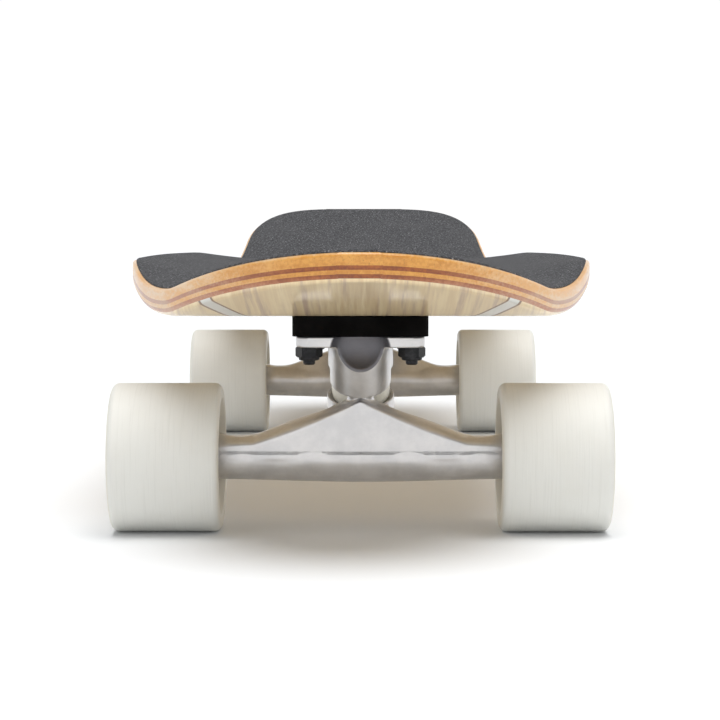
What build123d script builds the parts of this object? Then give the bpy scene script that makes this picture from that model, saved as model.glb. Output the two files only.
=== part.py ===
from build123d import *
from math import acos, atan2, cos, degrees, hypot, pi, radians, sin, tan
import os

os.makedirs("parts", exist_ok=True)

# A skateboard standing on its wheels. The nose points along -Y, the axles run along X, the ground is Z = 0.
# Each truck is drawn once about its own axle, with its outer end towards -Y, and then placed at both ends.

# lengths of the board
nose_overhang = 118.5       # nose tip ahead of the front axle
axle_spacing = 428.0
tail_overhang = 183.0       # tail tip behind the rear axle

# deck
deck_width = 203.0
ply_count = 7
ply_thickness = 1.57
grip_thickness = 0.9
grip_inset = 0.7            # bare wood between the tape and the edge of the deck
nose_kick_angle = 11.0
tail_kick_angle = 14.9
kick_bend = 24.0            # length over which the flat turns into a kick
nose_kick_start = 24.0      # ahead of the front axle
tail_kick_start = 51.0      # behind the rear axle
concave_rise = 9.5          # rails above the centre line, where the deck is widest
nose_round_length = 206.0   # from the nose tip back to the widest part
nose_fullness = 0.49        # lower is blunter
nose_side_curve = 1.6       # how quickly the nose runs into the straight sides
tail_round_length = 72.0    # length of the tail's round corners
tail_fullness = 0.23
tail_width_share = 0.72     # width of the tail as a share of the widest part
taper_curve = 1.35          # above 1 keeps the width for longer behind the nose
nose_tip_flat = 0.8
tail_tip_flat = 0.5
deck_section_count = 80
concave_fade = 95.0         # over this length the nose end of the concave grows from nothing
concave_tail_fade = 240.0   # and over this length it fades out towards the tail

# truck heights
wheel_radius = 30.5
truck_height = 51.2         # axle centre to the top of the baseplate
riser_thickness = 8.0

# mounting fasteners
bolt_spacing_x = 41.3
bolt_spacing_y = 54.0
outer_bolt_reach = 18.0     # outer pair of bolts, out from the axle
bolt_radius = 2.41
bolt_hole_clearance = 0.2
bolt_head_radius = 4.75
bolt_head_sink = 0.25       # top of the head below the surface of the tape
bolt_head_seat = 0.3        # depth of the head's seat in the second veneer from the top
bolt_slot_length = 4.6      # cross slot in the head
bolt_slot_width = 1.1
bolt_slot_depth = 1.2
bolt_end_chamfer = 0.5
bolt_tip = 1.8              # thread that shows below the nut
mount_nut_flats = 9.5
mount_nut_height = 5.6

# baseplate and riser
plate_width = 51.5
plate_outer_reach = 30.0    # plate edge, out from the axle
plate_inner_reach = 52.0    # plate edge, in from the axle
plate_thickness = 4.5
plate_corner = 6.0
riser_margin = 1.4
riser_window = (20.6, 43.2)  # opening between the bolts
riser_window_corner = 4.0
rib_depth = 5.0             # rib between the two bosses, below the plate
rib_width = 18.6
rib_corner = 4.0

# steering geometry
ring_inboard = 21.0         # centre of the kingpin ring, in from the axle
ring_above_axle = 20.0
pivot_outboard = 10.0       # centre of the pivot ball, out from the axle
pivot_above_axle = 37.9
pivot_lean = 32.0           # lean of the pivot stem from the vertical, outwards
kingpin_lean = 20.0         # lean of the kingpin from the vertical

# pivot
pivot_ball_radius = 5.0
pivot_clearance = 0.3
pivot_cup_radius = 8.0
pivot_cup_depth = 6.0       # closed end of the cup beyond the centre of the ball
pivot_cup_mouth = 7.0       # mouth of the cup before the centre of the ball
pivot_mouth_radius = 6.9
pivot_boss_radius = 12.4
pivot_scoop_radius = 12.0
pivot_scoop_outboard = 3.0  # centre of the scoop, out from the plate's edge
pivot_scoop_drop = 1.0      # and below the plate

# kingpin and bushings
kingpin_radius = 4.76
kingpin_head_flats = 14.3
kingpin_head_height = 6.0
kingpin_thread = 3.6        # thread below the kingpin nut
kingpin_end_chamfer = 1.0
head_pocket_clearance = 0.2
kingpin_nut_flats = 14.3
kingpin_nut_height = 7.4
ring_radius = 14.0
ring_hole_radius = 7.2
ring_half_thickness = 3.5
ring_rim_height = 1.6
ring_rim_thickness = 1.2
bushing_radius = 12.4
bushing_barrel = 0.6        # middle of a bushing wider than its ends, on the radius
bushing_bore_clearance = 0.15
board_bushing_height = 13.0
road_bushing_height = 10.5
washer_thickness = 1.5
washer_radius = 12.0
seat_wall = 5.0             # baseplate metal between the board-side washer and the kingpin head
kingpin_boss_radius = 13.5

# hanger and axle
hanger_length = 132.6
barrel_radius = 8.9
barrel_middle_radius = 10.2
hanger_apex_height = 25.6   # ridge of the web above the axle
ridge_radius = 3.3
ridge_forward = 1.2         # ridge at the middle, out from the axle
ridge_slope_share = 0.66    # share of the hanger over which the ridge comes down
shelf_width = 24.0
stem_radius = 5.0
stem_base_radius = 6.2
stem_foot = 4.0             # the stem stops this far short of the axle's centre
bushing_room = 6.0          # cleared past the end of the board-side bushing
axle_length = 205.6
axle_radius = 3.97
axle_end_chamfer = 0.8

# wheels and bearings
wheel_width = 45.0
lip_radius = 3.0
wheel_bore_radius = 9.0
recess_inner_radius = 14.0
side_wall = 7.0             # from the rim of the side recess to the tread
recess_rim_radius = 1.5
bearing_radius = 11.0
bearing_width = 7.0
race_inner_radius = 6.0     # outside of the inner race
race_outer_radius = 9.05    # inside of the outer race
ball_radius = 1.985
ball_pitch_radius = 7.5
ball_count = 7
ball_clearance = 0.03
cage_half_width = 2.45
cage_half_thickness = 0.45
cage_pocket_clearance = 0.12
shield_thickness = 0.4
shield_gap = 0.3
spacer_length = 10.0
spacer_radius = 5.6
speed_washer_thickness = 1.0
speed_washer_radius = 5.5
axle_nut_flats = 12.7
axle_nut_height = 7.5
cut_margin = 1.0            # cutting shapes run on past the face they leave by
long_cut = 30.0             # reach of a cut that goes right through a boss

# places that follow from the sizes
board_length = nose_overhang + axle_spacing + tail_overhang
nose_y = -board_length / 2
tail_y = board_length / 2
front_axle_y = nose_y + nose_overhang
rear_axle_y = tail_y - tail_overhang
axle_z = wheel_radius
plate_top = axle_z + truck_height
plate_bottom = plate_top - plate_thickness
deck_bottom = plate_top + riser_thickness
deck_thickness = ply_count * ply_thickness
deck_top = deck_bottom + deck_thickness
bolt_centre_y = bolt_spacing_y / 2 - outer_bolt_reach
half_width = deck_width / 2
recess_outer_radius = wheel_radius - side_wall
wheel_x = hanger_length / 2 + speed_washer_thickness + bearing_width + spacer_length / 2

truck_places = {
    "front": Location((0, front_axle_y, 0)),
    "rear": Location((0, rear_axle_y, 0), (0, 0, 180)),
}
wheel_places = {
    "front_left": Location((wheel_x, front_axle_y, axle_z)),
    "front_right": Location((-wheel_x, front_axle_y, axle_z), (0, 0, 180)),
    "rear_left": Location((wheel_x, rear_axle_y, axle_z)),
    "rear_right": Location((-wheel_x, rear_axle_y, axle_z), (0, 0, 180)),
}

lean = radians(kingpin_lean)
kingpin_up = Vector(0, -sin(lean), cos(lean))
ring_centre = Vector(0, ring_inboard, axle_z + ring_above_axle)
stem_up = Vector(0, -sin(radians(pivot_lean)), cos(radians(pivot_lean)))
pivot_centre = Vector(0, -pivot_outboard, axle_z + pivot_above_axle)


def kingpin_plane(height):
    """Plane square to the kingpin, at a height above the centre of the ring."""
    return Plane(origin=ring_centre + kingpin_up * height, x_dir=(1, 0, 0), z_dir=kingpin_up)


def stem_plane(height):
    """Plane square to the pivot stem, at a height above the centre of the pivot ball."""
    return Plane(origin=pivot_centre + stem_up * height, x_dir=(1, 0, 0), z_dir=stem_up)


def write_piece(piece, node):
    piece.label = node
    export_step(piece, f"parts/{node}.step")


def write_on_trucks(piece, name):
    """Writes a truck piece at both ends of the board."""
    for end, place in truck_places.items():
        write_piece(piece.moved(place), f"{end}_{name}")


def write_on_wheels(piece, name):
    """Writes a wheel piece at the four wheels."""
    for corner, place in wheel_places.items():
        write_piece(piece.moved(place), f"{corner}_{name}")


# deck

def ease(share):
    """Smooth step from 0 to 1."""
    share = min(1.0, max(0.0, share))
    return share * share * (3 - 2 * share)


def kick_rise(run, kick_angle):
    """Height of a kick at a distance past the start of its bend: its slope grows smoothly over the bend."""
    slope = tan(radians(kick_angle))
    share = min(1.0, max(0.0, run / kick_bend))
    bend_rise = kick_bend * slope * (share ** 3 - share ** 4 / 2)
    return bend_rise + max(0.0, run - kick_bend) * slope


def outline_half_width(y):
    """Half the width of the deck: pointed round nose, slow taper, squared tail with round corners."""
    behind_nose = max(y - nose_y, nose_tip_flat)
    ahead_of_tail = max(tail_y - y, tail_tip_flat)
    nose_share = min(1.0, behind_nose / nose_round_length)
    tail_share = min(1.0, ahead_of_tail / tail_round_length)
    nose = (1 - (1 - nose_share) ** nose_side_curve) ** nose_fullness
    tail = (1 - (1 - tail_share) ** 2) ** tail_fullness
    taper = ease((y - nose_y - nose_round_length) / (board_length - nose_round_length))
    narrowing = taper ** taper_curve
    return half_width * nose * tail * (1 - (1 - tail_width_share) * narrowing)


def spine_height(y):
    """Height of the underside along the middle of the deck."""
    nose_kick = kick_rise(front_axle_y - nose_kick_start - y, nose_kick_angle)
    tail_kick = kick_rise(y - rear_axle_y - tail_kick_start, tail_kick_angle)
    return deck_bottom + nose_kick + tail_kick


def rail_rise(y):
    """Height of the edges over the middle, at full width."""
    nose_fade = ease((y - front_axle_y + nose_kick_start) / concave_fade)
    tail_fade = ease((rear_axle_y + concave_tail_fade / 2 - y) / concave_tail_fade)
    return concave_rise * nose_fade * tail_fade


def deck_section(y, low, high, inset):
    """Section of a layer of the deck, between two heights above the underside."""
    width = outline_half_width(y) - inset
    rise = rail_rise(y) * (width / half_width) ** 2
    floor = spine_height(y) + low
    roof = spine_height(y) + high
    across = Plane(origin=(0, y, 0), x_dir=(1, 0, 0), z_dir=(0, -1, 0))
    with BuildSketch(across) as section:
        with BuildLine():
            under = Bezier((-width, floor + rise), (0, floor - rise), (width, floor + rise))
            over = Bezier((width, roof + rise), (0, roof - rise), (-width, roof + rise))
            Line(under @ 1, over @ 0)
            Line(over @ 1, under @ 0)
        make_face()
    return section.sketch.face()


def deck_stations():
    """Places of the sections, closer together at the nose and the tail."""
    steps = deck_section_count
    inner = [board_length * (1 - cos(pi * step / steps)) / 2 for step in range(2, steps - 1)]
    return [nose_y + along for along in [0] + inner + [board_length]]


def stations_inside(inset):
    """The sections of a layer that stops short of the two tips."""
    return [y for y in deck_stations() if abs(y) <= tail_y - inset]


bolt_points = [
    (side * bolt_spacing_x / 2, y)
    for y in (
        front_axle_y - outer_bolt_reach,
        front_axle_y - outer_bolt_reach + bolt_spacing_y,
        rear_axle_y + outer_bolt_reach - bolt_spacing_y,
        rear_axle_y + outer_bolt_reach,
    )
    for side in (-1, 1)
]
head_top = deck_top + grip_thickness - bolt_head_sink
head_bottom = deck_top - ply_thickness - bolt_head_seat
bolt_hole = bolt_radius + bolt_hole_clearance
head_hole = bolt_head_radius + bolt_hole_clearance


def deck_layer(low, high, inset=0.0):
    """A pressed layer of the deck, drilled for the bolts and, near the top, for their heads."""
    with BuildPart() as layer:
        loft([deck_section(y, low, high, inset) for y in stations_inside(inset)])
        with Locations(*[(x, y, deck_bottom + deck_thickness / 2) for x, y in bolt_points]):
            Cylinder(bolt_hole, 2 * deck_thickness, mode=Mode.SUBTRACT)
        if deck_bottom + high + concave_rise > head_bottom:
            with BuildSketch(Plane.XY.offset(head_bottom)):
                with Locations(*bolt_points):
                    Circle(head_hole)
            extrude(amount=deck_thickness, mode=Mode.SUBTRACT)
    return layer.part


for ply in range(ply_count):
    write_piece(deck_layer(ply * ply_thickness, (ply + 1) * ply_thickness), f"deck_ply_{ply + 1}")
write_piece(deck_layer(deck_thickness, deck_thickness + grip_thickness, grip_inset), "grip_tape")


# fasteners

def lock_nut(flats, height, bore):
    """Hexagonal lock nut with bevelled corners and a round collar at its top."""
    collar = height * 0.22
    body = height - collar
    corner = flats / 2 / cos(pi / 6)
    with BuildPart() as nut:
        with BuildSketch():
            RegularPolygon(flats / 2, 6, major_radius=False)
        extrude(amount=body)
        with BuildSketch(mode=Mode.PRIVATE) as disc:
            Circle(corner)
        with BuildPart(mode=Mode.PRIVATE) as bevel:
            add(disc)
            extrude(amount=body)
            chamfer(bevel.edges().filter_by(GeomType.CIRCLE), (corner - flats / 2) * 0.9)
        add(bevel.part, mode=Mode.INTERSECT)
        with BuildSketch(Plane.XY.offset(body)):
            Circle(flats * 0.44)
        extrude(amount=collar)
        fillet(nut.faces().sort_by(Axis.Z)[-1].edges(), collar * 0.6)
        with BuildSketch():
            Circle(bore)
        extrude(amount=height, mode=Mode.SUBTRACT)
    return nut.part


truck_bolt_points = [
    (side * bolt_spacing_x / 2, -outer_bolt_reach + along)
    for along in (0, bolt_spacing_y)
    for side in (-1, 1)
]
bolt_end = plate_bottom - mount_nut_height - bolt_tip

with BuildPart() as mounting_bolts:
    with BuildSketch(Plane.XY.offset(bolt_end)):
        with Locations(*truck_bolt_points):
            Circle(bolt_radius)
    extrude(amount=head_top - bolt_end)
    chamfer(mounting_bolts.faces().filter_by(Axis.Z).group_by(Axis.Z)[0].edges(), bolt_end_chamfer)
    with BuildSketch(Plane.XY.offset(head_bottom)):
        with Locations(*truck_bolt_points):
            Circle(bolt_head_radius)
    extrude(amount=head_top - head_bottom)
    with Locations(*[(x, y, head_top) for x, y in truck_bolt_points]):
        Box(bolt_slot_length, bolt_slot_width, 2 * bolt_slot_depth, mode=Mode.SUBTRACT)
        Box(bolt_slot_width, bolt_slot_length, 2 * bolt_slot_depth, mode=Mode.SUBTRACT)
write_on_trucks(mounting_bolts.part, "mounting_bolts")

mount_nut = lock_nut(mount_nut_flats, mount_nut_height, bolt_radius)
with BuildPart() as mounting_nuts:
    with Locations(*[Location((x, y, plate_bottom), (180, 0, 0)) for x, y in truck_bolt_points]):
        add(mount_nut)
write_on_trucks(mounting_nuts.part, "mounting_nuts")


# riser pad and baseplate

plate_length = plate_outer_reach + plate_inner_reach
plate_middle = (plate_inner_reach - plate_outer_reach) / 2

with BuildPart() as riser_pad:
    with BuildSketch(Plane.XY.offset(plate_top)):
        with Locations((0, plate_middle)):
            RectangleRounded(plate_width + 2 * riser_margin, plate_length + 2 * riser_margin, plate_corner)
        with Locations(*truck_bolt_points):
            Circle(bolt_hole, mode=Mode.SUBTRACT)
        with Locations((0, bolt_centre_y)):
            RectangleRounded(*riser_window, riser_window_corner, mode=Mode.SUBTRACT)
    extrude(amount=riser_thickness)
write_on_trucks(riser_pad.part, "riser_pad")

# stations along the kingpin, counted up from the centre of the ring
board_bushing_top = ring_half_thickness + board_bushing_height
plate_seat = board_bushing_top + washer_thickness
head_seat = plate_seat + seat_wall
road_bushing_bottom = -ring_half_thickness - road_bushing_height
nut_seat = road_bushing_bottom - washer_thickness
kingpin_end = nut_seat - kingpin_nut_height - kingpin_thread

with BuildPart() as baseplate:
    with BuildSketch(Plane.XY.offset(plate_bottom)):
        with Locations((0, plate_middle)):
            RectangleRounded(plate_width, plate_length, plate_corner)
    extrude(amount=plate_thickness)
    # raised middle rib between the two bosses
    with BuildSketch(Plane.XY.offset(plate_bottom - rib_depth)):
        with Locations((0, (ring_inboard - pivot_outboard) / 2)):
            RectangleRounded(rib_width, ring_inboard + pivot_outboard, rib_corner)
    extrude(amount=rib_depth + cut_margin)
    # pivot boss
    with BuildSketch(stem_plane(-pivot_cup_mouth)):
        Circle(pivot_boss_radius)
    extrude(amount=pivot_cup_mouth + long_cut)
    # kingpin boss
    with BuildSketch(kingpin_plane(plate_seat)):
        Circle(kingpin_boss_radius)
    extrude(amount=long_cut)
    # the top is ground flat and the bosses stay inside the plate's outer edge
    split(bisect_by=Plane.XY.offset(plate_top), keep=Keep.BOTTOM)
    split(bisect_by=Plane.XZ.offset(plate_outer_reach), keep=Keep.BOTTOM)
    # scoop in the front of the pivot boss
    with Locations((0, -plate_outer_reach - pivot_scoop_outboard, plate_bottom - pivot_scoop_drop)):
        Sphere(pivot_scoop_radius, mode=Mode.SUBTRACT)
    # pocket for the pivot cup
    with BuildSketch(stem_plane(pivot_cup_depth)):
        Circle(pivot_cup_radius)
    extrude(amount=-long_cut, mode=Mode.SUBTRACT)
    # bore and hexagonal pocket for the kingpin
    with BuildSketch(kingpin_plane(plate_seat - cut_margin)):
        Circle(kingpin_radius)
    extrude(amount=long_cut, mode=Mode.SUBTRACT)
    with BuildSketch(kingpin_plane(head_seat)):
        RegularPolygon(kingpin_head_flats / 2 + head_pocket_clearance, 6, major_radius=False)
    extrude(amount=long_cut, mode=Mode.SUBTRACT)
    with BuildSketch(Plane.XY.offset(plate_bottom - cut_margin)):
        with Locations(*truck_bolt_points):
            Circle(bolt_hole)
    extrude(amount=plate_thickness + 2 * cut_margin, mode=Mode.SUBTRACT)
write_on_trucks(baseplate.part, "baseplate")

with BuildPart() as pivot_cup:
    with BuildSketch(stem_plane(-pivot_cup_mouth)):
        Circle(pivot_cup_radius)
    extrude(amount=pivot_cup_mouth + pivot_cup_depth)
    with Locations(pivot_centre):
        Sphere(pivot_ball_radius + pivot_clearance, mode=Mode.SUBTRACT)
    with BuildSketch(stem_plane(-pivot_cup_mouth)):
        Circle(pivot_mouth_radius)
    with BuildSketch(stem_plane(0)):
        Circle(pivot_ball_radius + pivot_clearance)
    loft(mode=Mode.SUBTRACT)
write_on_trucks(pivot_cup.part, "pivot_cup")


# kingpin, its nut, bushings and washers

with BuildPart() as kingpin:
    with BuildSketch(kingpin_plane(kingpin_end)):
        Circle(kingpin_radius)
    extrude(amount=head_seat - kingpin_end)
    chamfer(kingpin.edges().filter_by(GeomType.CIRCLE).sort_by(Axis.Z)[0], kingpin_end_chamfer)
    with BuildSketch(kingpin_plane(head_seat)):
        RegularPolygon(kingpin_head_flats / 2, 6, major_radius=False)
    extrude(amount=kingpin_head_height)
write_on_trucks(kingpin.part, "kingpin")

kingpin_nut = lock_nut(kingpin_nut_flats, kingpin_nut_height, kingpin_radius)
nut_place = Location(kingpin_plane(nut_seat)) * Location((0, 0, 0), (180, 0, 0))
write_on_trucks(kingpin_nut.moved(nut_place), "kingpin_nut")


def bushing(bottom, height):
    """Barrel of soft urethane round the kingpin, widest at its middle."""
    with BuildPart() as barrel:
        for share, narrowing in ((0, bushing_barrel), (0.5, 0), (1, bushing_barrel)):
            with BuildSketch(kingpin_plane(bottom + share * height)):
                Circle(bushing_radius - narrowing)
        loft()
        with BuildSketch(kingpin_plane(bottom)):
            Circle(kingpin_radius + bushing_bore_clearance)
        extrude(amount=height, mode=Mode.SUBTRACT)
    return barrel.part


write_on_trucks(bushing(ring_half_thickness, board_bushing_height), "board_bushing")
write_on_trucks(bushing(road_bushing_bottom, road_bushing_height), "road_bushing")

with BuildPart() as bushing_washers:
    for low in (board_bushing_top, nut_seat):
        with BuildSketch(kingpin_plane(low)):
            Circle(washer_radius)
            Circle(kingpin_radius + bushing_bore_clearance, mode=Mode.SUBTRACT)
        extrude(amount=washer_thickness)
write_on_trucks(bushing_washers.part, "bushing_washers")


# hanger and axle

def web_ridge(x):
    """Height of the hanger's ridge above the axle: a straight slope that settles onto the barrel."""
    slope_end = ridge_slope_share * hanger_length / 2
    foot = barrel_radius + 0.6
    share = min(1.0, x / slope_end)
    slope = (hanger_apex_height - foot) * (1 - share)
    return foot + slope - 0.6 * ease((x - slope_end) / (hanger_length / 2 - slope_end))


def web_section(x):
    """Upright section of the hanger across the axle: a rounded barrel drawn up to a ridge."""
    share = ease(abs(x) / (hanger_length / 2))
    low_radius = barrel_middle_radius + (barrel_radius - barrel_middle_radius) * share
    high_radius = ridge_radius + (low_radius * 0.8 - ridge_radius) * share
    rise = max(web_ridge(abs(x)) - high_radius, 1.1 * (low_radius - high_radius))
    forward = ridge_forward * rise / hanger_apex_height
    lean_angle = degrees(atan2(rise, -forward))
    side_angle = degrees(acos((low_radius - high_radius) / hypot(rise, forward)))
    with BuildSketch(Plane.YZ.offset(x)) as section:
        with BuildLine():
            low = CenterArc((0, axle_z), low_radius, lean_angle + side_angle, 360 - 2 * side_angle)
            high_centre = (-forward, axle_z + rise)
            high = CenterArc(high_centre, high_radius, lean_angle - side_angle, 2 * side_angle)
            Line(low @ 1, high @ 0)
            Line(high @ 1, low @ 0)
        make_face()
    return section.sketch.face()


with BuildPart() as hanger:
    stations = (-1.0, -0.82, -0.66, -0.4, -0.16, 0.0, 0.16, 0.4, 0.66, 0.82, 1.0)
    loft([web_section(share * hanger_length / 2) for share in stations])
    # shelf that carries the kingpin ring
    shelf_reach = ring_inboard / cos(lean)
    with BuildSketch(kingpin_plane(-ring_half_thickness)):
        Circle(ring_radius)
        with Locations((0, -shelf_reach / 2)):
            Rectangle(shelf_width, shelf_reach)
    extrude(amount=2 * ring_half_thickness)
    # raised rims that hold the bushings
    for low in (ring_half_thickness, -ring_half_thickness - ring_rim_height):
        with BuildSketch(kingpin_plane(low)):
            Circle(ring_radius)
        extrude(amount=ring_rim_height)
    # pivot stem and its ball
    stem_length = pivot_above_axle / cos(radians(pivot_lean)) - stem_foot
    with BuildSketch(stem_plane(-stem_length)):
        Circle(stem_base_radius)
    with BuildSketch(stem_plane(0)):
        Circle(stem_radius)
    loft()
    with Locations(pivot_centre):
        Sphere(pivot_ball_radius)
    # room for the bushings and the kingpin
    rim_inside = ring_radius - ring_rim_thickness
    with BuildSketch(kingpin_plane(ring_half_thickness)):
        Circle(rim_inside)
    extrude(amount=board_bushing_height + bushing_room, mode=Mode.SUBTRACT)
    with BuildSketch(kingpin_plane(-ring_half_thickness)):
        Circle(rim_inside)
    extrude(amount=-long_cut, mode=Mode.SUBTRACT)
    with BuildSketch(kingpin_plane(-ring_half_thickness - cut_margin)):
        Circle(ring_hole_radius)
    extrude(amount=2 * (ring_half_thickness + cut_margin), mode=Mode.SUBTRACT)
    # bore for the axle
    with BuildSketch(Plane.YZ.offset(-hanger_length / 2 - cut_margin)):
        with Locations((0, axle_z)):
            Circle(axle_radius)
    extrude(amount=hanger_length + 2 * cut_margin, mode=Mode.SUBTRACT)
write_on_trucks(hanger.part, "hanger")

with BuildPart() as axle:
    with BuildSketch(Plane.YZ.offset(-axle_length / 2)):
        with Locations((0, axle_z)):
            Circle(axle_radius)
    extrude(amount=axle_length)
    chamfer(axle.edges().filter_by(GeomType.CIRCLE), axle_end_chamfer)
write_on_trucks(axle.part, "axle")

inner_race_start = hanger_length / 2 + speed_washer_thickness
bearing_starts = (inner_race_start, inner_race_start + bearing_width + spacer_length)
outer_washer_start = bearing_starts[1] + bearing_width
axle_nut_start = outer_washer_start + speed_washer_thickness


def rings_on_axle(starts, length, inner, outer):
    """Plain rings round the axle, at both ends of the hanger."""
    with BuildPart() as rings:
        for start in starts:
            for side in (-1, 1):
                with BuildSketch(Plane.YZ.offset(side * start)):
                    with Locations((0, axle_z)):
                        Circle(outer)
                        Circle(inner, mode=Mode.SUBTRACT)
                extrude(amount=side * length)
    return rings.part


washers = rings_on_axle(
    (hanger_length / 2, outer_washer_start), speed_washer_thickness, axle_radius, speed_washer_radius
)
write_on_trucks(washers, "speed_washers")
spacers = rings_on_axle((bearing_starts[0] + bearing_width,), spacer_length, axle_radius, spacer_radius)
write_on_trucks(spacers, "bearing_spacers")

nut_blank = lock_nut(axle_nut_flats, axle_nut_height, axle_radius)
with BuildPart() as axle_nuts:
    with Locations(Location((axle_nut_start, 0, axle_z), (0, 90, 0))):
        add(nut_blank)
    with Locations(Location((-axle_nut_start, 0, axle_z), (0, -90, 0))):
        add(nut_blank)
write_on_trucks(axle_nuts.part, "axle_nuts")


# bearings: drawn about the X axis, centred on a wheel

bearing_middle = spacer_length / 2 + bearing_width / 2
groove_radius = ball_radius + ball_clearance
spin_axis = Axis.X


def race(low, high):
    """Both rings of one kind in a wheel, grooved for the balls."""
    with BuildPart() as races:
        with BuildSketch(Plane.XY):
            for side in (-1, 1):
                with Locations((side * bearing_middle, (low + high) / 2)):
                    Rectangle(bearing_width, high - low)
                with Locations((side * bearing_middle, ball_pitch_radius)):
                    Circle(groove_radius, mode=Mode.SUBTRACT)
        revolve(axis=spin_axis)
    return races.part


inner_races = race(axle_radius, race_inner_radius)
with BuildPart() as truck_inner_races:
    for side in (-1, 1):
        with Locations((side * wheel_x, 0, axle_z)):
            add(inner_races)
write_on_trucks(truck_inner_races.part, "bearing_inner_races")
write_on_wheels(race(race_outer_radius, bearing_radius), "bearing_outer_races")

with BuildPart() as bearing_shields:
    with BuildSketch(Plane.XY):
        for side in (-1, 1):
            for face in (-1, 1):
                across = side * bearing_middle + face * (bearing_width - shield_thickness) / 2
                up = (race_inner_radius + shield_gap + race_outer_radius) / 2
                with Locations((across, up)):
                    Rectangle(shield_thickness, race_outer_radius - race_inner_radius - shield_gap)
    revolve(axis=spin_axis)
write_on_wheels(bearing_shields.part, "bearing_shields")

ball_points = [
    (
        side * bearing_middle,
        ball_pitch_radius * cos(2 * pi * ball / ball_count),
        ball_pitch_radius * sin(2 * pi * ball / ball_count),
    )
    for side in (-1, 1)
    for ball in range(ball_count)
]
with BuildPart() as bearing_balls:
    with Locations(*ball_points):
        Sphere(ball_radius)
write_on_wheels(bearing_balls.part, "bearing_balls")

with BuildPart() as ball_cages:
    with BuildSketch(Plane.XY):
        for side in (-1, 1):
            with Locations((side * bearing_middle, ball_pitch_radius)):
                Rectangle(2 * cage_half_width, 2 * cage_half_thickness)
    revolve(axis=spin_axis)
    with Locations(*ball_points):
        Sphere(ball_radius + cage_pocket_clearance, mode=Mode.SUBTRACT)
write_on_wheels(ball_cages.part, "ball_cages")


# wheel

seat_outer = spacer_length / 2 + bearing_width

with BuildPart() as wheel:
    with BuildSketch(Plane.XY) as profile:
        with Locations((0, wheel_radius / 2)):
            Rectangle(wheel_width, wheel_radius)
        fillet(profile.vertices().group_by(Axis.Y)[-1], lip_radius)
        Rectangle(wheel_width, 2 * wheel_bore_radius, mode=Mode.SUBTRACT)
        for side in (-1, 1):
            with Locations((side * bearing_middle, 0)):
                Rectangle(bearing_width, 2 * bearing_radius, mode=Mode.SUBTRACT)
            with BuildLine():
                Polyline(
                    (side * seat_outer, 0),
                    (side * seat_outer, recess_inner_radius),
                    (side * wheel_width / 2, recess_outer_radius),
                    (side * wheel_width / 2, 0),
                    close=True,
                )
            make_face(mode=Mode.SUBTRACT)
    revolve(axis=spin_axis)
    rims = wheel.edges().filter_by(GeomType.CIRCLE)
    recess_rims = [rim for rim in rims if abs(rim.radius - recess_outer_radius) < 0.1]
    fillet(recess_rims, recess_rim_radius)
write_on_wheels(wheel.part, "wheel")
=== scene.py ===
import math

import bmesh
import bpy
from mathutils import Matrix, Vector


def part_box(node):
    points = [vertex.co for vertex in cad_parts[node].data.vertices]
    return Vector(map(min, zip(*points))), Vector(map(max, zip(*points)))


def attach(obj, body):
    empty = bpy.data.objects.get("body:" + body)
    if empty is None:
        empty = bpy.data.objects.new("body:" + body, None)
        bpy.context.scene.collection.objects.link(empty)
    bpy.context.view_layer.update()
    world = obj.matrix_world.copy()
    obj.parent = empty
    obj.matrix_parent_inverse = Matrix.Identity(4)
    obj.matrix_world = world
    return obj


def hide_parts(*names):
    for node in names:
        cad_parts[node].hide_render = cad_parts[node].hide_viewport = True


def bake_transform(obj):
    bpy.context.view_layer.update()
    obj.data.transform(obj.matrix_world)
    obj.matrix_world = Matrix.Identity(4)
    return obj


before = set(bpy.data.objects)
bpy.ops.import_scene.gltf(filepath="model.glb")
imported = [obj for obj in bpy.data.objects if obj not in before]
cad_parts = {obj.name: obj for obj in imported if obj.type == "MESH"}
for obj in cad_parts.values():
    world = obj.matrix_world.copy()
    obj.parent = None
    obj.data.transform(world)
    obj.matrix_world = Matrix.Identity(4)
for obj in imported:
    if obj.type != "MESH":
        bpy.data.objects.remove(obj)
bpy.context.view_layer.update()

# Metres. The nose points along -Y, the axles run along X, the floor is Z = 0.
mm = 0.001
ends = {"front": 1, "rear": -1}          # 1 where the truck's outer side faces -Y
corners = ("front_left", "front_right", "rear_left", "rear_right")


def middle(node):
    low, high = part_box(node)
    return (low + high) / 2


axleCentre = {end: middle(f"{end}_axle") for end in ends}
wheelCentre = {corner: middle(f"{corner}_wheel") for corner in corners}


# shader tools

class Signal:
    # a node's output that can take part in sums
    def __init__(self, finish, socket):
        self.finish = finish
        self.socket = socket

    def __add__(self, other):
        return self.finish.maths("ADD", self, other)

    def __sub__(self, other):
        return self.finish.maths("SUBTRACT", self, other)

    def __rsub__(self, other):
        return self.finish.maths("SUBTRACT", other, self)

    def __mul__(self, other):
        return self.finish.maths("MULTIPLY", self, other)

    def __truediv__(self, other):
        return self.finish.maths("DIVIDE", self, other)

    def __pow__(self, other):
        return self.finish.maths("POWER", self, other)

    def __abs__(self):
        return self.finish.maths("ABSOLUTE", self, 0.0)

    __radd__ = __add__
    __rmul__ = __mul__


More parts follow.
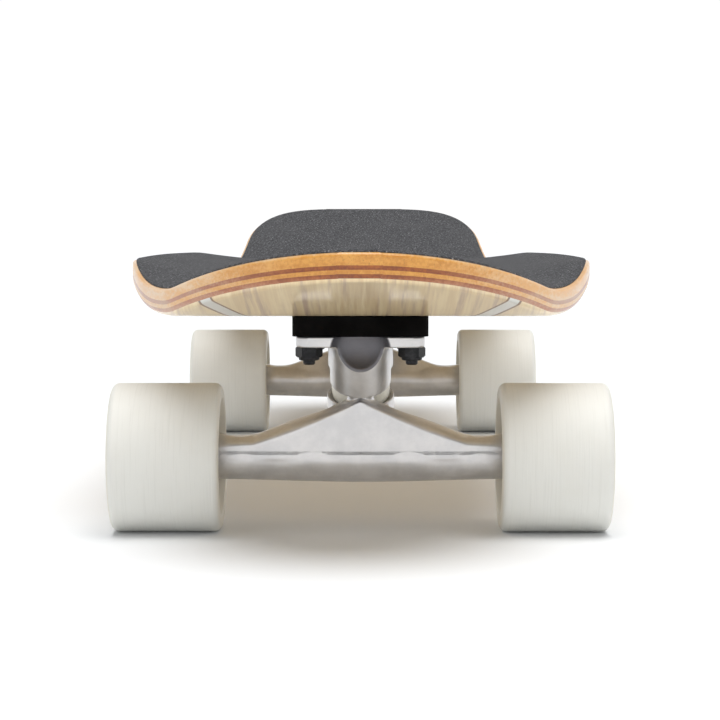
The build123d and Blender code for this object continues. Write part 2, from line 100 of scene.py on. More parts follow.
class Finish:
    # one material and the nodes in it
    def __init__(self, name, **sockets):
        self.material = bpy.data.materials.new(name)
        self.material.use_nodes = True
        self.tree = self.material.node_tree
        self.shader = self.tree.nodes["Principled BSDF"]
        for label, value in sockets.items():
            self.set(label, value)

    def set(self, label, value):
        socket = self.shader.inputs[label.replace("_", " ")]
        if isinstance(value, Signal):
            self.tree.links.new(value.socket, socket)
        elif isinstance(value, tuple):
            socket.default_value = (*value, 1.0)
        else:
            socket.default_value = value

    def node(self, kind, settings, sockets, output=0):
        made = self.tree.nodes.new(kind)
        for label, value in settings.items():
            if label == "stops":
                ramp = made.color_ramp.elements
                while len(ramp) < len(value):
                    ramp.new(0.5)
                for element, (place, shade) in zip(ramp, value):
                    element.position = place
                    element.color = (*shade, 1.0)
            else:
                setattr(made, label, value)
        for label, value in sockets.items():
            socket = made.inputs[label]
            if isinstance(value, Signal):
                self.tree.links.new(value.socket, socket)
            elif isinstance(value, tuple) and socket.type == "RGBA":
                socket.default_value = (*value, 1.0)
            else:
                socket.default_value = value
        return Signal(self, made.outputs[output])

    def maths(self, operation, first, second):
        return self.node("ShaderNodeMath", {"operation": operation}, {0: first, 1: second})

    def place(self):
        return self.node("ShaderNodeTexCoord", {}, {}, "Object")

    def stretched(self, place, scale):
        return self.node("ShaderNodeVectorMath", {"operation": "MULTIPLY"}, {0: place, 1: scale})

    def axis(self, vector, letter):
        return self.node("ShaderNodeSeparateXYZ", {}, {0: vector}, letter)

    def noise(self, place, scale, detail=3.0, roughness=0.55):
        sockets = {"Vector": place, "Scale": scale, "Detail": detail, "Roughness": roughness}
        return self.node("ShaderNodeTexNoise", {}, sockets, 0)

    def step(self, value, low, high, start=0.0, end=1.0):
        sockets = {"Value": value, "From Min": low, "From Max": high, "To Min": start, "To Max": end}
        return self.node("ShaderNodeMapRange", {"interpolation_type": "SMOOTHSTEP"}, sockets)

    def blend(self, share, first, second, kind="MIX"):
        sockets = {0: share, 6: first, 7: second}
        return self.node("ShaderNodeMix", {"data_type": "RGBA", "blend_type": kind}, sockets, 2)

    def bump(self, height, depth, strength=1.0):
        sockets = {"Height": height, "Distance": depth, "Strength": strength}
        return self.node("ShaderNodeBump", {}, sockets)


# finishes

woodLook = {"light": (0.76, 0.36, 0.065), "lightDark": (0.60, 0.24, 0.03),
            "lightSide": (0.78, 0.53, 0.29),
            "brown": (0.40, 0.10, 0.006), "brownDark": (0.22, 0.045, 0.003),
            "brownSide": (0.50, 0.27, 0.15),
            "cream": (0.88, 0.72, 0.45), "creamDark": (0.74, 0.54, 0.30),
            "creamStreak": (0.46, 0.31, 0.25),
            "pores": 0.72, "coat": 0.55, "bump": 0.12 * mm, "bellyCoat": 0.7, "bellyBump": 0.08 * mm}


def veneerFinish(name, pale, dark, sidePale):
    # lacquered veneer: long grain down the sides, darker end grain at the nose and the tail
    wood = Finish(name, Coat_Roughness=0.12, IOR=1.5)
    place = wood.place()
    long = wood.stretched(place, (1.0, 0.045, 1.0))
    patches = wood.noise(wood.stretched(place, (1.0, 0.35, 6.0)), 42.0, 3.0)
    grain = wood.noise(long, 900.0, 5.0, 0.6)
    broad = wood.noise(long, 130.0, 3.0)
    pores = wood.noise(wood.stretched(place, (1.0, 1.0, 0.35)), 2600.0, 2.0)
    normal = wood.node("ShaderNodeNewGeometry", {}, {}, "Normal")
    facing = abs(wood.axis(normal, "Y"))
    endGrain = wood.step(facing, 0.35, 0.9)
    tone = wood.step(grain * 0.45 + broad * 0.2 + patches * 0.35, 0.40, 0.62)
    along = wood.blend(tone, dark, pale)
    side = wood.blend(tone, pale, sidePale)
    colour = wood.blend(endGrain, side, along)
    speck = wood.step(pores, 0.60, 0.72, 1.0, woodLook["pores"])
    grey = wood.node("ShaderNodeCombineColor", {}, {0: speck, 1: speck, 2: speck})
    wood.set("Base_Color", wood.blend(1.0, colour, grey, "MULTIPLY"))
    wood.set("Roughness", wood.step(grain, 0.3, 0.7, 0.34, 0.5))
    wood.set("Coat_Weight", woodLook["coat"])
    wood.set("Normal", wood.bump(grain * 0.6 + pores * 0.4, woodLook["bump"], 0.6))
    return wood.material


stripeLook = {"pale": (0.70, 0.70, 0.67), "rim": (0.20, 0.105, 0.06), "behindAxle": 46 * mm,
              "bend": 34.0, "halfWidth": 2.7 * mm, "rimWidth": 1.2 * mm, "soft": 0.3 * mm}


def bellyFinish():
    # pale lacquered underside with long mauve streaks and a plain bowed stripe under the nose
    belly = Finish("bellyVeneer", Coat_Roughness=0.10, IOR=1.5)
    place = belly.place()
    long = belly.stretched(place, (1.0, 0.02, 0.0))
    grain = belly.noise(long, 700.0, 5.0, 0.6)
    broad = belly.noise(long, 230.0, 4.0, 0.65)
    streak = belly.step(broad, 0.50, 0.66)
    wood = belly.blend(belly.step(grain, 0.3, 0.7), woodLook["creamDark"], woodLook["cream"])
    wood = belly.blend(streak * 0.75, wood, woodLook["creamStreak"])
    along = belly.axis(place, "Y")
    across = belly.axis(place, "X")
    bowLine = float(axleCentre["front"].y) + stripeLook["behindAxle"]
    slope = across * (2 * stripeLook["bend"])
    bowed = along - bowLine + across * across * stripeLook["bend"]
    offset = abs(bowed) / (slope * slope + 1.0) ** 0.5
    inner = stripeLook["halfWidth"]
    outer = inner + stripeLook["rimWidth"]
    inPale = belly.step(offset, inner, inner + stripeLook["soft"], 1.0, 0.0)
    inRim = belly.step(offset, outer, outer + stripeLook["soft"], 1.0, 0.0)
    printed = belly.blend(inRim, wood, stripeLook["rim"])
    printed = belly.blend(inPale, printed, stripeLook["pale"])
    belly.set("Base_Color", printed)
    belly.set("Roughness", belly.step(grain, 0.3, 0.7, 0.28, 0.42))
    belly.set("Coat_Weight", woodLook["bellyCoat"])
    belly.set("Normal", belly.bump(grain, woodLook["bellyBump"], 0.5))
    return belly.material


gripLook = {"dark": (0.022, 0.022, 0.024), "grit": (0.115, 0.116, 0.124),
            "speck": (0.50, 0.50, 0.51), "worn": (0.12, 0.12, 0.125), "bump": 0.5 * mm}


def gripFinish():
    # black grit with pale mineral specks
    grip = Finish("gripTape", Specular_IOR_Level=0.35)
    place = grip.place()
    grit = grip.noise(place, 950.0, 4.0, 0.75)
    fine = grip.noise(place, 3200.0, 2.0, 0.6)
    wear = grip.noise(place, 24.0, 4.0)
    sparkle = grip.node("ShaderNodeTexVoronoi", {"feature": "F1"},
                        {"Vector": place, "Scale": 620.0}, "Distance")
    specks = grip.step(sparkle, 0.12, 0.30, 1.0, 0.0) * grip.step(fine, 0.46, 0.56)
    base = grip.blend(grip.step(grit, 0.40, 0.62), gripLook["dark"], gripLook["grit"])
    base = grip.blend(specks * 0.85, base, gripLook["speck"])
    base = grip.blend(grip.step(wear, 0.45, 0.75) * 0.2, base, gripLook["worn"])
    grip.set("Base_Color", base)
    grip.set("Roughness", grip.step(grit, 0.3, 0.7, 0.72, 0.95))
    grip.set("Normal", grip.bump(grit * 0.7 + fine * 0.3, gripLook["bump"], 0.8))
    return grip.material


# dull and bright are random mottling; the scoop colour is painted shade for the deep scoops
castLook = {"dull": (0.61, 0.60, 0.60), "bright": (0.72, 0.705, 0.70),
            "roughShadedScoop": (0.16, 0.155, 0.165), "scoopUp": 75.7 * mm, "scoopOut": 33 * mm,
            "scoopRadius": 12.3 * mm, "scoopSoft": 0.6 * mm, "bump": 0.015 * mm}


def castFinish():
    # polished cast aluminium with soft mottling and fine scratches; the scoops are left rougher and
    # carry painted shade, a dark colour for the shade in these deep hollows
    cast = Finish("castAluminium", Metallic=0.88)
    place = cast.place()
    mottle = cast.noise(place, 95.0, 4.0, 0.6)
    skin = cast.noise(place, 1700.0, 3.0, 0.6)
    scratch = cast.noise(cast.stretched(place, (0.12, 1.0, 1.0)), 2400.0, 2.0)
    tone = cast.blend(cast.step(mottle, 0.35, 0.7), castLook["dull"], castLook["bright"])
    across = cast.axis(place, "X")
    up = cast.axis(place, "Z") - castLook["scoopUp"]
    # painted shade: a ball-shaped mask darkens each scoop and also makes it a little rougher
    roughShadedScoop = 0.0
    edge = castLook["scoopRadius"]
    for end, facing in ends.items():
        along = cast.axis(place, "Y") - (float(axleCentre[end].y) - castLook["scoopOut"] * facing)
        reach = (across * across + up * up + along * along) ** 0.5
        roughShadedScoop = roughShadedScoop + cast.step(reach, edge, edge + castLook["scoopSoft"], 1.0, 0.0)
    polish = cast.step(mottle * 0.5 + scratch * 0.5, 0.35, 0.65, 0.28, 0.4)
    cast.set("Base_Color", cast.blend(roughShadedScoop, tone, castLook["roughShadedScoop"]))
    cast.set("Roughness", polish + roughShadedScoop * 0.15)
    cast.set("Normal", cast.bump(skin * 0.5 + scratch * 0.5, castLook["bump"], 0.5))
    return cast.material


fastenerLook = {"steelBump": 0.03 * mm, "steelDarker": 0.78, "black": (0.008, 0.008, 0.009),
                "handled": (0.035, 0.035, 0.037), "blackBump": 0.04 * mm}


def steelFinish(name, colour, rough, ring):
    # turned or plated steel with fine tool marks
    steel = Finish(name, Metallic=1.0)
    place = steel.place()
    marks = steel.noise(steel.stretched(place, ring), 1500.0, 3.0)
    cloud = steel.noise(place, 220.0, 3.0)
    darker = tuple(fastenerLook["steelDarker"] * part for part in colour)
    steel.set("Base_Color", steel.blend(steel.step(cloud, 0.35, 0.65), darker, colour))
    steel.set("Roughness", steel.step(marks, 0.3, 0.7, rough * 0.8, rough * 1.25))
    steel.set("Normal", steel.bump(marks, fastenerLook["steelBump"], 0.6))
    return steel.material


def blackFinish():
    # black oxide fasteners, greyer where they have been handled
    black = Finish("blackOxide", Metallic=0.6)
    place = black.place()
    cloud = black.noise(place, 320.0, 4.0)
    handled = black.step(cloud, 0.4, 0.75)
    black.set("Base_Color", black.blend(handled, fastenerLook["black"], fastenerLook["handled"]))
    black.set("Roughness", black.step(cloud, 0.3, 0.7, 0.32, 0.5))
    black.set("Normal", black.bump(black.noise(place, 2500.0), fastenerLook["blackBump"], 0.6))
    return black.material


def plasticFinish(name, low, high, rough, grainDepth, sheen=0.25):
    # moulded plastic or rubber with a fine texture
    plastic = Finish(name, Specular_IOR_Level=sheen)
    place = plastic.place()
    cloud = plastic.noise(place, 60.0, 4.0)
    fine = plastic.noise(place, 2200.0, 2.0)
    plastic.set("Base_Color", plastic.blend(plastic.step(cloud, 0.35, 0.7), low, high))
    plastic.set("Roughness", plastic.step(fine, 0.3, 0.7, rough - 0.06, rough + 0.08))
    plastic.set("Normal", plastic.bump(fine, grainDepth, 0.6))
    return plastic.material


# the recess colour is painted shade for the hollow in the wheel's face
wheelLook = {"tread": (0.765, 0.76, 0.715), "lip": (0.74, 0.70, 0.60),
             "recessShade": (0.58, 0.54, 0.46), "groove": (0.69, 0.685, 0.64),
             "stain": (0.70, 0.68, 0.61), "bump": 0.16 * mm}


def urethaneFinish(corner):
    # off-white urethane: ground tread with fine rings, warmer polished lips, and painted shade
    # darkening the recess in the wheel's face
    wheel = Finish(f"urethane_{corner}", Specular_IOR_Level=0.45)
    place = wheel.place()
    centre = wheelCentre[corner]
    across = wheel.axis(place, "X") - float(centre.x)
    up = wheel.axis(place, "Z") - float(centre.z)
    along = wheel.axis(place, "Y") - float(centre.y)
    radius = (up * up + along * along) ** 0.5
    rings = wheel.noise(wheel.stretched(place, (1.0, 0.02, 0.02)), 1500.0, 3.0, 0.7)
    cloud = wheel.noise(place, 45.0, 4.0)
    tyre, recess = wheelSize["radius"], wheelSize["recessRadius"]
    onTread = wheel.step(radius, tyre - 2.2 * mm, tyre - 0.4 * mm)
    # painted shade: the recess in the wheel's face gets a darker colour where it falls into shade
    inRecessShade = wheel.step(radius, recess - 4 * mm, recess + 0.5 * mm, 1.0, 0.0)
    tread = wheel.blend(wheel.step(rings, 0.5, 0.72) * 0.5, wheelLook["tread"], wheelLook["groove"])
    colour = wheel.blend(onTread, wheelLook["lip"], tread)
    colour = wheel.blend(inRecessShade, colour, wheelLook["recessShade"])
    colour = wheel.blend(wheel.step(cloud, 0.5, 0.8) * 0.3, colour, wheelLook["stain"])
    wheel.set("Base_Color", colour)
    wheel.set("Roughness", wheel.step(onTread, 0.0, 1.0, 0.34, 0.58))
    wheel.set("Normal", wheel.bump(rings * onTread + cloud * 0.15, wheelLook["bump"], 0.7))
    return wheel.material


# deck: the same pressed shape as the layers of the frame

deckSize = {"noseOverhang": 118.5 * mm, "tailOverhang": 183 * mm, "halfWidth": 101.5 * mm,
            "noseAngle": math.radians(11), "tailAngle": math.radians(14.9),
            "kickBend": 24 * mm, "noseKick": 24 * mm, "tailKick": 51 * mm,
            "concave": 9.5 * mm, "noseFade": 95 * mm, "tailFade": 240 * mm,
            "noseRound": 206 * mm, "noseCurve": 1.6, "noseFullness": 0.49,
            "tailRound": 72 * mm, "tailFullness": 0.23, "tailShare": 0.72, "taperCurve": 1.35,
            "noseFlat": 0.8 * mm, "tailFlat": 0.5 * mm, "thickness": 10.99 * mm,
            "ply": 1.57 * mm, "grip": 0.9 * mm, "bottomRound": 4.2 * mm, "topRound": 1.5 * mm,
            "edgeInset": 0.02 * mm, "leastHalfWidth": 0.5 * mm, "rows": 170, "columns": 30}

noseY = float(axleCentre["front"].y) - deckSize["noseOverhang"]
tailY = float(axleCentre["rear"].y) + deckSize["tailOverhang"]
boardLength = tailY - noseY
deckBottom = float(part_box("front_riser_pad")[1].z)


def ease(share):
    share = min(1.0, max(0.0, share))
    return share * share * (3 - 2 * share)


def kickRise(run, angle):
    slope = math.tan(angle)
    share = min(1.0, max(0.0, run / deckSize["kickBend"]))
    bendRise = deckSize["kickBend"] * slope * (share ** 3 - share ** 4 / 2)
    return bendRise + max(0.0, run - deckSize["kickBend"]) * slope


def outlineHalfWidth(y):
    noseShare = min(1.0, max(y - noseY, deckSize["noseFlat"]) / deckSize["noseRound"])
    tailShare = min(1.0, max(tailY - y, deckSize["tailFlat"]) / deckSize["tailRound"])
    nose = (1 - (1 - noseShare) ** deckSize["noseCurve"]) ** deckSize["noseFullness"]
    tail = (1 - (1 - tailShare) ** 2) ** deckSize["tailFullness"]
    taper = ease((y - noseY - deckSize["noseRound"]) / (boardLength - deckSize["noseRound"]))
    narrowing = taper ** deckSize["taperCurve"]
    return deckSize["halfWidth"] * nose * tail * (1 - (1 - deckSize["tailShare"]) * narrowing)


def spineHeight(y):
    nose = kickRise(float(axleCentre["front"].y) - deckSize["noseKick"] - y, deckSize["noseAngle"])
    tail = kickRise(y - float(axleCentre["rear"].y) - deckSize["tailKick"], deckSize["tailAngle"])
    return deckBottom + nose + tail


def railRise(y):
    nose = ease((y - float(axleCentre["front"].y) + deckSize["noseKick"]) / deckSize["noseFade"])
    tail = ease((float(axleCentre["rear"].y) + deckSize["tailFade"] / 2 - y) / deckSize["tailFade"])
    return deckSize["concave"] * nose * tail


def edgeRound(height):
    # how far the rounded edge of the deck stands in at a height above its underside
    inset = deckSize["edgeInset"]
    low, high = deckSize["bottomRound"], deckSize["topRound"]
    fromTop = deckSize["thickness"] - height
    if height < low:
        inset += low - math.sqrt(max(0.0, low ** 2 - (low - height) ** 2))
    if fromTop < high:
        inset += high - math.sqrt(max(0.0, high ** 2 - (high - max(0.0, fromTop)) ** 2))
    return inset


def meshObject(name, points, faces, finish, sharp=35.0):
    mesh = bpy.data.meshes.new(name)
    mesh.from_pydata([tuple(point) for point in points], [], faces)
    mesh.validate()
    shape = bmesh.new()
    shape.from_mesh(mesh)
    bmesh.ops.remove_doubles(shape, verts=shape.verts, dist=1e-6)
    bmesh.ops.recalc_face_normals(shape, faces=shape.faces)
    for face in shape.faces:
        face.smooth = True
    for edge in shape.edges:
        edge.smooth = edge.is_boundary or edge.calc_face_angle(0.0) < math.radians(sharp)
    shape.to_mesh(mesh)
    shape.free()
    piece = bpy.data.objects.new(name, mesh)
    bpy.context.scene.collection.objects.link(piece)
    mesh.materials.append(finish)
    return piece


def layerPiece(name, low, high, insetAt, finish, edgeSteps=4):
    # one pressed layer: two curved sheets and a rounded edge between them
    rows, columns = deckSize["rows"], deckSize["columns"]
    places = [noseY + boardLength * (1 - math.cos(math.pi * row / rows)) / 2
              for row in range(rows + 1)]
    shares = [math.sin(math.pi / 2 * (2 * column / columns - 1)) for column in range(columns + 1)]
    points, faces = [], []

    def point(row, share, height):
        y = places[row]
        inset = insetAt(height)
        width = max(deckSize["leastHalfWidth"], outlineHalfWidth(y) - inset)
        rise = railRise(y) * (share * width / deckSize["halfWidth"]) ** 2
        return (share * width, y * (1 - inset / tailY), spineHeight(y) + height + rise)

    def sheet(height):
        start = len(points)
        for row in range(rows + 1):
            for share in shares:
                points.append(point(row, share, height))
        for row in range(rows):
            for column in range(columns):
                first = start + row * (columns + 1) + column
                faces.append((first, first + 1, first + columns + 2, first + columns + 1))
        rim = [start + column for column in range(columns + 1)]
        rim += [start + row * (columns + 1) + columns for row in range(1, rows + 1)]
        rim += [start + rows * (columns + 1) + column for column in range(columns - 1, -1, -1)]
        rim += [start + row * (columns + 1) for row in range(rows - 1, 0, -1)]
        return rim

    def loop(height):
        start = len(points)
        for share in shares:
            points.append(point(0, share, height))
        for row in range(1, rows + 1):
            points.append(point(row, 1.0, height))
        for share in reversed(shares[:-1]):
            points.append(point(rows, share, height))
        for row in range(rows - 1, 0, -1):
            points.append(point(row, -1.0, height))
        return list(range(start, len(points)))

    rims = [sheet(low)]
    for step in range(1, edgeSteps):
        rims.append(loop(low + (high - low) * step / edgeSteps))
    rims.append(sheet(high))
    for below, above in zip(rims, rims[1:]):
        count = len(below)
        for index in range(count):
            after = (index + 1) % count
            faces.append((below[index], below[after], above[after], above[index]))
    return meshObject(name, points, faces, finish)


lightVeneer = veneerFinish("lightVeneer", woodLook["light"], woodLook["lightDark"],
                           woodLook["lightSide"])
brownVeneer = veneerFinish("brownVeneer", woodLook["brown"], woodLook["brownDark"],
                           woodLook["brownSide"])
bellyVeneer = bellyFinish()
veneerOf = {1: (bellyVeneer, "belly_veneer"), 2: (brownVeneer, "brown_veneer"),
            4: (brownVeneer, "brown_veneer")}
plyCount = len([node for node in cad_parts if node.startswith("deck_ply_")])
for ply in range(1, plyCount + 1):
    finish, slot = veneerOf.get(ply, (lightVeneer, "light_veneer"))
    low = (ply - 1) * deckSize["ply"]
    veneer = layerPiece(f"veneer_{ply}", low, low + deckSize["ply"], edgeRound, finish)
    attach(veneer, "deck")
    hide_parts(f"deck_ply_{ply}")
print("deck pressed")


tapeSize = {"back": 0.1 * mm, "edge": 0.5 * mm}
boltHoles = {"radius": 4.95 * mm, "depth": 4 * mm, "acrossGap": 41.3 * mm,
             "outer": 18 * mm, "inner": 36 * mm, "segments": 48}


def tapeInset(height):
    over = max(0.0, height - deckSize["thickness"]) / deckSize["grip"]
    return deckSize["topRound"] + tapeSize["back"] + tapeSize["edge"] * over ** 3


def drillBoltHoles(piece):
    drill = bmesh.new()
    for end, facing in ends.items():
        for along in (-boltHoles["outer"], boltHoles["inner"]):
            for side in (-0.5, 0.5):
                place = axleCentre[end] + Vector((side * boltHoles["acrossGap"], along * facing, 0))
                place.z = deckBottom + deckSize["thickness"]
                bmesh.ops.create_cone(drill, cap_ends=True, segments=boltHoles["segments"],
                                      radius1=boltHoles["radius"], radius2=boltHoles["radius"],
                                      depth=boltHoles["depth"], matrix=Matrix.Translation(place))
    mesh = bpy.data.meshes.new("drill")
    drill.to_mesh(mesh)
    drill.free()
    cutter = bpy.data.objects.new("drill", mesh)
    bpy.context.scene.collection.objects.link(cutter)
    cut = piece.modifiers.new("boltHoles", "BOOLEAN")
    cut.operation = "DIFFERENCE"
    cut.object = cutter
    bpy.context.view_layer.objects.active = piece
    bpy.ops.object.modifier_apply(modifier="boltHoles")
    bpy.data.objects.remove(cutter)


tapeTop = deckSize["thickness"] + deckSize["grip"]
tape = layerPiece("tape", deckSize["thickness"], tapeTop, tapeInset, gripFinish())
drillBoltHoles(tape)
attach(tape, "deck")
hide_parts("grip_tape")
print("grip tape laid")


# wheels: turned about the axle

wheelSize = {"radius": float(wheelCentre["front_left"].z), "half": 22.5 * mm, "lip": 3.0 * mm,
             "recessRadius": 23.5 * mm, "recessRim": 1.5 * mm, "seatRadius": 11.02 * mm,
             "seat": 12.0 * mm, "floor": 14.0 * mm, "floorRound": 2.0 * mm, "seatRise": 1.0 * mm,
             "bore": 9.0 * mm, "web": 5.0 * mm, "segments": 160}


def arcPoints(centre, radius, start, stop, steps):
    return [(centre[0] + radius * math.cos(math.radians(start + (stop - start) * step / steps)),
             centre[1] + radius * math.sin(math.radians(start + (stop - start) * step / steps)))
            for step in range(steps + 1)]


def wheelProfile():
    # half of the closed profile, from the middle of the bore round to the middle of the tread
    half, lip, radius = wheelSize["half"], wheelSize["lip"], wheelSize["radius"]
    bore, web = wheelSize["bore"], wheelSize["web"]
    seat, seatRadius = wheelSize["seat"], wheelSize["seatRadius"]
    floor, floorRound, rim = wheelSize["floor"], wheelSize["floorRound"], wheelSize["recessRim"]
    profile = [(0.0, bore), (web, bore), (web, seatRadius), (seat, seatRadius),
               (seat, floor - wheelSize["seatRise"])]
    profile += arcPoints((seat + floorRound, floor), floorRound, 180, 125, 4)
    profile += arcPoints((half - rim, wheelSize["recessRadius"] + rim), rim, -50, 0, 5)
    profile += arcPoints((half - lip, radius - lip), lip, 0, 90, 12)
    profile += [(half * share, radius) for share in (0.5, 0.25, 0.0)]
    return profile


def turned(name, centre, profile, finish, segments, axis="X"):
    # turns a closed profile of (along, radius) points about an axis through the centre
    points, faces = [], []
    count = len(profile)
    for segment in range(segments):
        angle = 2 * math.pi * segment / segments
        for along, radius in profile:
            points.append(Vector((along, radius * math.cos(angle), radius * math.sin(angle))))
    for segment in range(segments):
        after = (segment + 1) % segments
        for index in range(count):
            other = (index + 1) % count
            faces.append((segment * count + index, segment * count + other,
                          after * count + other, after * count + index))
    place = Matrix.Translation(centre)
    if axis != "X":
        place = place @ Vector((1, 0, 0)).rotation_difference(axis).to_matrix().to_4x4()
    return meshObject(name, [place @ point for point in points], faces, finish)


for corner in corners:
    half = wheelProfile()
    profile = half + [(-along, radius) for along, radius in reversed(half[1:-1])]
    wheel = turned(f"{corner}_tyre", wheelCentre[corner], profile, urethaneFinish(corner),
                   wheelSize["segments"])
    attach(wheel, f"{corner}_wheel")
    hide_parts(f"{corner}_wheel")
print("wheels turned")


# cast pieces: remeshed from the frame's solids so that every inner corner is softly rounded

castSize = {"voxel": 0.55 * mm, "smooth": 5, "smoothPull": 0.5, "half": 66.3 * mm,
            "barrel": 8.9 * mm, "middleBarrel": 10.2 * mm, "apex": 25.6 * mm, "foot": 9.5 * mm,
            "slopeShare": 0.66, "flatMiddle": 0.93, "flatLoss": 0.55}
cast = castFinish()


def fillFrontFace(piece, end):
    # the outer side of the hanger is filled out to a flat face that rounds over below the ridge
    centre, facing, half = axleCentre[end], ends[end], castSize["half"]
    for vertex in piece.data.vertices:
        place = piece.matrix_world @ vertex.co
        outward = (place.y - centre.y) * facing
        height = place.z - centre.z
        across = min(1.0, abs(place.x) / half)
        foot = castSize["foot"]
        ridge = foot + (castSize["apex"] - foot) * (1 - min(1.0, across / castSize["slopeShare"]))
        if outward < 0 and 0 < height < ridge:
            narrower = castSize["middleBarrel"] - castSize["barrel"]
            radius = castSize["middleBarrel"] - narrower * ease(across)
            flat = castSize["flatMiddle"] - castSize["flatLoss"] * across
            past = min(1.0, max(0.0, (height / ridge - flat) / (1 - flat)))
            place.y = centre.y + min(outward, -radius * (1 - past ** 2) ** 0.5) * facing
            vertex.co = piece.matrix_world.inverted() @ place


def castPiece(node, body):
    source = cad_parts[node]
    piece = source.copy()
    piece.data = source.data.copy()
    piece.name = f"{node}_casting"
    piece.parent = None
    bpy.context.scene.collection.objects.link(piece)
    piece.hide_render = False
    piece.hide_viewport = False
    for key in list(piece.keys()):
        del piece[key]
    piece.data.materials.clear()
    piece.data.materials.append(cast)
    bpy.ops.object.select_all(action="DESELECT")
    bpy.context.view_layer.objects.active = piece
    piece.select_set(True)
    remesh = piece.modifiers.new("remesh", "REMESH")
    remesh.mode = "VOXEL"
    remesh.voxel_size = castSize["voxel"]
    remesh.use_smooth_shade = True
    bpy.ops.object.modifier_apply(modifier="remesh")
    if node.endswith("hanger"):
        fillFrontFace(piece, node.split("_")[0])
    soften = piece.modifiers.new("soften", "SMOOTH")
    soften.factor = castSize["smoothPull"]
    soften.iterations = castSize["smooth"]
    bpy.ops.object.modifier_apply(modifier="soften")
    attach(piece, body)
    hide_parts(node)


for end in ends:
    castPiece(f"{end}_baseplate", "deck")
    castPiece(f"{end}_hanger", f"{end}_truck")
print("castings made")


# bushings: soft barrels between the baseplate and the hanger

bushingLook = {"low": (0.88, 0.86, 0.76), "high": (0.94, 0.92, 0.84), "rough": 0.42}
bushingSize = {"radius": 12.2 * mm, "bore": 5.0 * mm, "bulge": 0.5 * mm, "corner": 1.0 * mm,
               "cornerIn": 1.6 * mm, "ringInboard": 21 * mm, "ringUp": 20 * mm,
               "lean": math.radians(20), "board": (3.5 * mm, 16.5 * mm),
               "road": (-14.0 * mm, -3.5 * mm), "segments": 72}
fineGrain = 0.06 * mm
bushingUrethane = plasticFinish("bushingUrethane", bushingLook["low"], bushingLook["high"],
                                bushingLook["rough"], fineGrain)


def bushingPiece(end, name, low, high, towardsHanger):
    facing = ends[end]
    lean = bushingSize["lean"]
    up = Vector((0, -math.sin(lean) * facing, math.cos(lean)))
    ring = axleCentre[end] + Vector((0, bushingSize["ringInboard"] * facing, bushingSize["ringUp"]))
    radius, bore, length = bushingSize["radius"], bushingSize["bore"], high - low
    bulge, corner = bushingSize["bulge"], bushingSize["corner"]
    cornerRadius = radius - bushingSize["cornerIn"]
    profile = [(0.0, bore), (length, bore)]
    profile += arcPoints((length - corner, cornerRadius), corner, 0, 75, 5)
    profile += [(length * share, radius - bulge + bulge * math.sin(math.pi * share))
                for share in (0.8, 0.65, 0.5, 0.35, 0.2)]
    profile += arcPoints((corner, cornerRadius), corner, 105, 180, 5)
    piece = turned(f"{end}_{name}_urethane", ring + up * low, profile, bushingUrethane,
                   bushingSize["segments"], up)
    fixed, moving = (high, low) if towardsHanger == "low" else (low, high)
    tuple(ring + up * fixed)
    tuple(ring + up * moving)
    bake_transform(piece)
    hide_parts(f"{end}_{name}")


for end in ends:
    bushingPiece(end, "board_bushing", *bushingSize["board"], "low")
    bushingPiece(end, "road_bushing", *bushingSize["road"], "high")
print("bushings fitted")


# finishes for the turned and bought pieces, which keep their own shape

evenly, roundX = (1.0, 1.0, 1.0), (1.0, 0.05, 0.05)          # which way the tool marks run
riserGrain, riserSheen = 0.1 * mm, 0.06
blackOxide = blackFinish()
riserRubber = plasticFinish("riserRubber", (0.0012, 0.0011, 0.0011), (0.004, 0.0037, 0.0037),
                            0.85, riserGrain, riserSheen)
pivotPlastic = plasticFinish("pivotPlastic", (0.03, 0.03, 0.033), (0.07, 0.07, 0.075),
                             0.5, fineGrain)
zincSteel = steelFinish("zincSteel", (0.66, 0.665, 0.68), 0.32, evenly)
axleSteel = steelFinish("axleSteel", (0.60, 0.605, 0.62), 0.3, roundX)
bearingSteel = steelFinish("bearingSteel", (0.78, 0.785, 0.80), 0.14, roundX)
shieldSteel = steelFinish("shieldSteel", (0.55, 0.555, 0.57), 0.36, (1.0, 0.1, 0.1))
finishOf = {"riser_pad": riserRubber, "pivot_cup": pivotPlastic,
            "kingpin": zincSteel, "kingpin_nut": zincSteel, "bushing_washers": zincSteel,
            "mounting_bolts": blackOxide, "mounting_nuts": blackOxide,
            "axle": axleSteel, "axle_nuts": zincSteel, "speed_washers": zincSteel,
            "bearing_inner_races": bearingSteel, "bearing_outer_races": bearingSteel,
            "bearing_spacers": axleSteel, "bearing_shields": shieldSteel,
            "bearing_balls": bearingSteel, "ball_cages": shieldSteel}
for node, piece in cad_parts.items():
    for ending, finish in finishOf.items():
        if node.endswith(ending):
            piece.data.materials.clear()
            piece.data.materials.append(finish)
print("finishes given")


# floor, light and camera

paperLook = {"low": (0.905, 0.925, 0.945), "high": (0.925, 0.94, 0.955)}


def paperFinish():
    paper = Finish("paper", Roughness=0.85, Specular_IOR_Level=0.2)
    cloud = paper.noise(paper.place(), 3.0, 2.0)
    tone = paper.step(cloud, 0.3, 0.7)
    paper.set("Base_Color", paper.blend(tone, paperLook["low"], paperLook["high"]))
    return paper.material


studio = {"floorHalf": 14.0, "sky": 0.22, "band": 1.02, "bandTop": 0.16, "skyFrom": 0.50,
          "sunPower": 2.75, "sunSpread": 50.0, "sunTilt": (8.0, 4.0), "frontPower": 2.0,
          "frontPlace": (-0.4, -2.4, 0.7), "frontTarget": (0, -0.2, 0.05), "frontSize": (1.6, 0.7)}


def layFloor():
    half = studio["floorHalf"]
    points = [(-half, -half, 0), (half, -half, 0), (half, half, 0), (-half, half, 0)]
    floor = meshObject("floor", points, [(0, 1, 2, 3)], paperFinish())


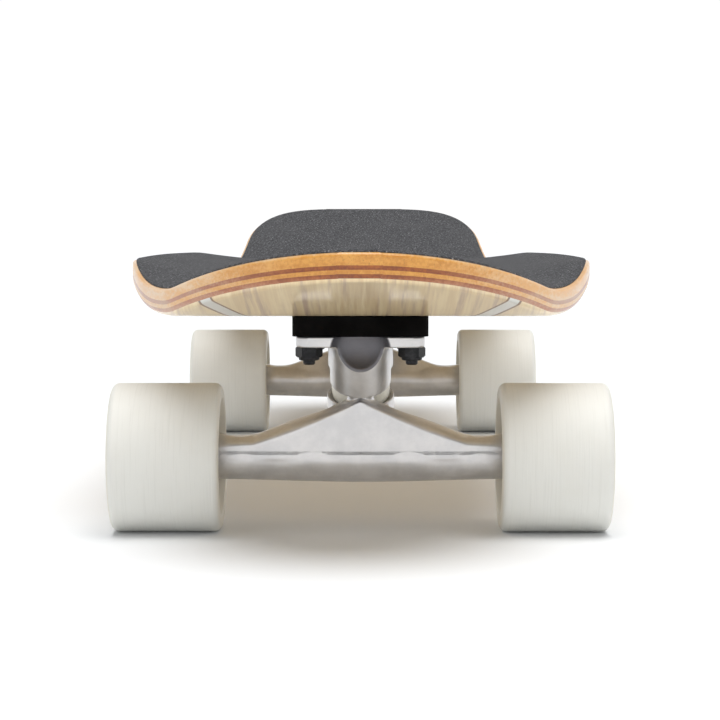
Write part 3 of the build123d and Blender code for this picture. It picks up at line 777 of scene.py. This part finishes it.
def softLight(name, place, target, size, power):
    lamp = bpy.data.lights.new(name, "AREA")
    lamp.shape = "RECTANGLE"
    lamp.size, lamp.size_y = size
    lamp.energy = power
    holder = bpy.data.objects.new(name, lamp)
    holder.location = place
    holder.rotation_euler = (Vector(target) - Vector(place)).to_track_quat("-Z", "Y").to_euler()
    bpy.context.scene.collection.objects.link(holder)


def lightStudio():
    # a pale band round the horizon under a dimmer sky, and one broad light overhead
    world = bpy.data.worlds.new("studio")
    world.use_nodes = True
    tree = world.node_tree
    place = tree.nodes.new("ShaderNodeTexCoord")
    split = tree.nodes.new("ShaderNodeSeparateXYZ")
    fade = tree.nodes.new("ShaderNodeMapRange")
    fade.interpolation_type = "SMOOTHSTEP"
    for label, value in (("From Min", studio["bandTop"]), ("From Max", studio["skyFrom"]),
                         ("To Min", studio["band"]), ("To Max", studio["sky"])):
        fade.inputs[label].default_value = value
    tree.links.new(place.outputs["Generated"], split.inputs[0])
    tree.links.new(split.outputs["Z"], fade.inputs["Value"])
    tree.links.new(fade.outputs[0], tree.nodes["Background"].inputs["Strength"])
    tree.nodes["Background"].inputs["Color"].default_value = (1.0, 1.0, 1.0, 1.0)
    bpy.context.scene.world = world
    sun = bpy.data.lights.new("overhead", "SUN")
    sun.energy = studio["sunPower"]
    sun.angle = math.radians(studio["sunSpread"])
    holder = bpy.data.objects.new("overhead", sun)
    holder.rotation_euler = [math.radians(angle) for angle in studio["sunTilt"]] + [0]
    bpy.context.scene.collection.objects.link(holder)
    softLight("front", studio["frontPlace"], studio["frontTarget"], studio["frontSize"],
              studio["frontPower"])


view = {"distance": 925 * mm, "side": 3 * mm, "height": 130.5 * mm, "down": 3.71, "left": 0.2,
        "lens": 113.0, "sensor": 36.0, "nearest": 0.02}


def setCamera():
    camera = bpy.data.cameras.new("camera")
    camera.lens = view["lens"]
    camera.sensor_width = view["sensor"]
    camera.clip_start = view["nearest"]
    holder = bpy.data.objects.new("camera", camera)
    place = float(axleCentre["front"].y) - view["distance"]
    holder.location = (view["side"], place, view["height"])
    holder.rotation_euler = (math.radians(90 - view["down"]), 0, math.radians(view["left"]))
    bpy.context.scene.collection.objects.link(holder)
    bpy.context.scene.camera = holder


layFloor()
lightStudio()
setCamera()
bpy.context.scene.view_settings.view_transform = "Standard"
